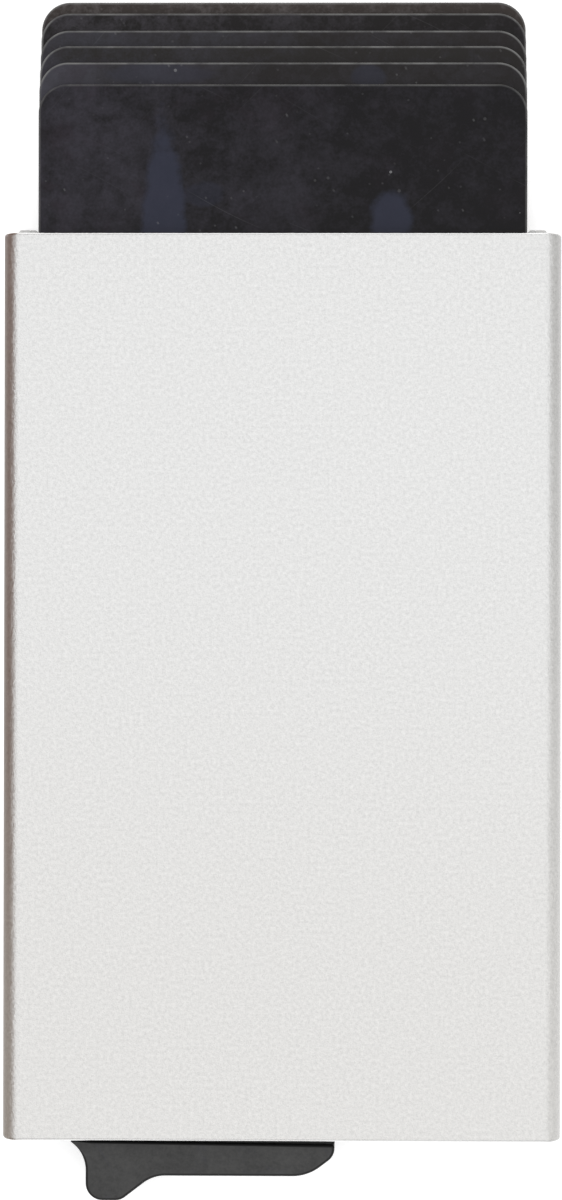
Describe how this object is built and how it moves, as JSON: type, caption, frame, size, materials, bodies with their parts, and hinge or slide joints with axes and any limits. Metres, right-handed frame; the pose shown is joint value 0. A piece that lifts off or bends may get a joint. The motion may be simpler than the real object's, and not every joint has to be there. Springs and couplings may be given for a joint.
{
  "type": "pop up card holder",
  "caption": "Flat metal card case, open at both ends, with a stepped thumb lever at its foot that lifts the stacked cards out of the mouth as a fan.",
  "frame": {"origin": "middle of the case's flat back face, which the holder lies on", "axes": "+X to the right and +Y to the mouth as the front is seen, +Z out of the front face"},
  "size_m": [0.0618, 0.1331, 0.008],
  "materials": {
    "case_metal": "bead blasted and anodised, fine even grain",
    "base_plastic": "moulded, matt black",
    "lever_plastic": "moulded, matt charcoal with a fine spark texture",
    "card_plastic": "satin black with faint scuffs",
    "carrier_plastic": "extruded, matt dark grey",
    "pile_fabric": "short dense black pile",
    "pin_steel": "ground"
  },
  "bodies": {
    "case": {"case_sleeve": "case_metal", "base_insert": "base_plastic", "pivot_pin": "pin_steel", "left_strip_carrier": "carrier_plastic", "right_strip_carrier": "carrier_plastic", "left_pile_strip": "pile_fabric", "right_pile_strip": "pile_fabric"},
    "lever": {"lever": "lever_plastic"},
    "card_1": {"card_1": "card_plastic"},
    "card_2": {"card_2": "card_plastic"},
    "card_3": {"card_3": "card_plastic"},
    "card_4": {"card_4": "card_plastic"},
    "card_5": {"card_5": "card_plastic"},
    "card_6": {"card_6": "card_plastic"}
  },
  "joints": [
    {"name": "lever_swing", "type": "hinge", "parent": "case", "child": "lever", "pos_m": [-0.0257, -0.0425, 0.004], "axis": [0, 0, 1], "range_deg": [-37, 0]},
    {"name": "card_1_slide", "type": "slide", "parent": "case", "child": "card_1", "axis": [0, 1, 0], "range_m": [-0.01701, 0]},
    {"name": "card_2_slide", "type": "slide", "parent": "case", "child": "card_2", "axis": [0, 1, 0], "range_m": [-0.01955, 0]},
    {"name": "card_3_slide", "type": "slide", "parent": "case", "child": "card_3", "axis": [0, 1, 0], "range_m": [-0.0215, 0]},
    {"name": "card_4_slide", "type": "slide", "parent": "case", "child": "card_4", "axis": [0, 1, 0], "range_m": [-0.02335, 0]},
    {"name": "card_5_slide", "type": "slide", "parent": "case", "child": "card_5", "axis": [0, 1, 0], "range_m": [-0.0254, 0]},
    {"name": "card_6_slide", "type": "slide", "parent": "case", "child": "card_6", "axis": [0, 1, 0], "range_m": [-0.02676, 0]}
  ],
  "couplings": [
    {"joint": "card_1_slide", "follows": "lever_swing", "m_per_rad": 0.026325},
    {"joint": "card_2_slide", "follows": "lever_swing", "m_per_rad": 0.030252},
    {"joint": "card_3_slide", "follows": "lever_swing", "m_per_rad": 0.033271},
    {"joint": "card_4_slide", "follows": "lever_swing", "m_per_rad": 0.036138},
    {"joint": "card_5_slide", "follows": "lever_swing", "m_per_rad": 0.039311},
    {"joint": "card_6_slide", "follows": "lever_swing", "m_per_rad": 0.041423}
  ]
}
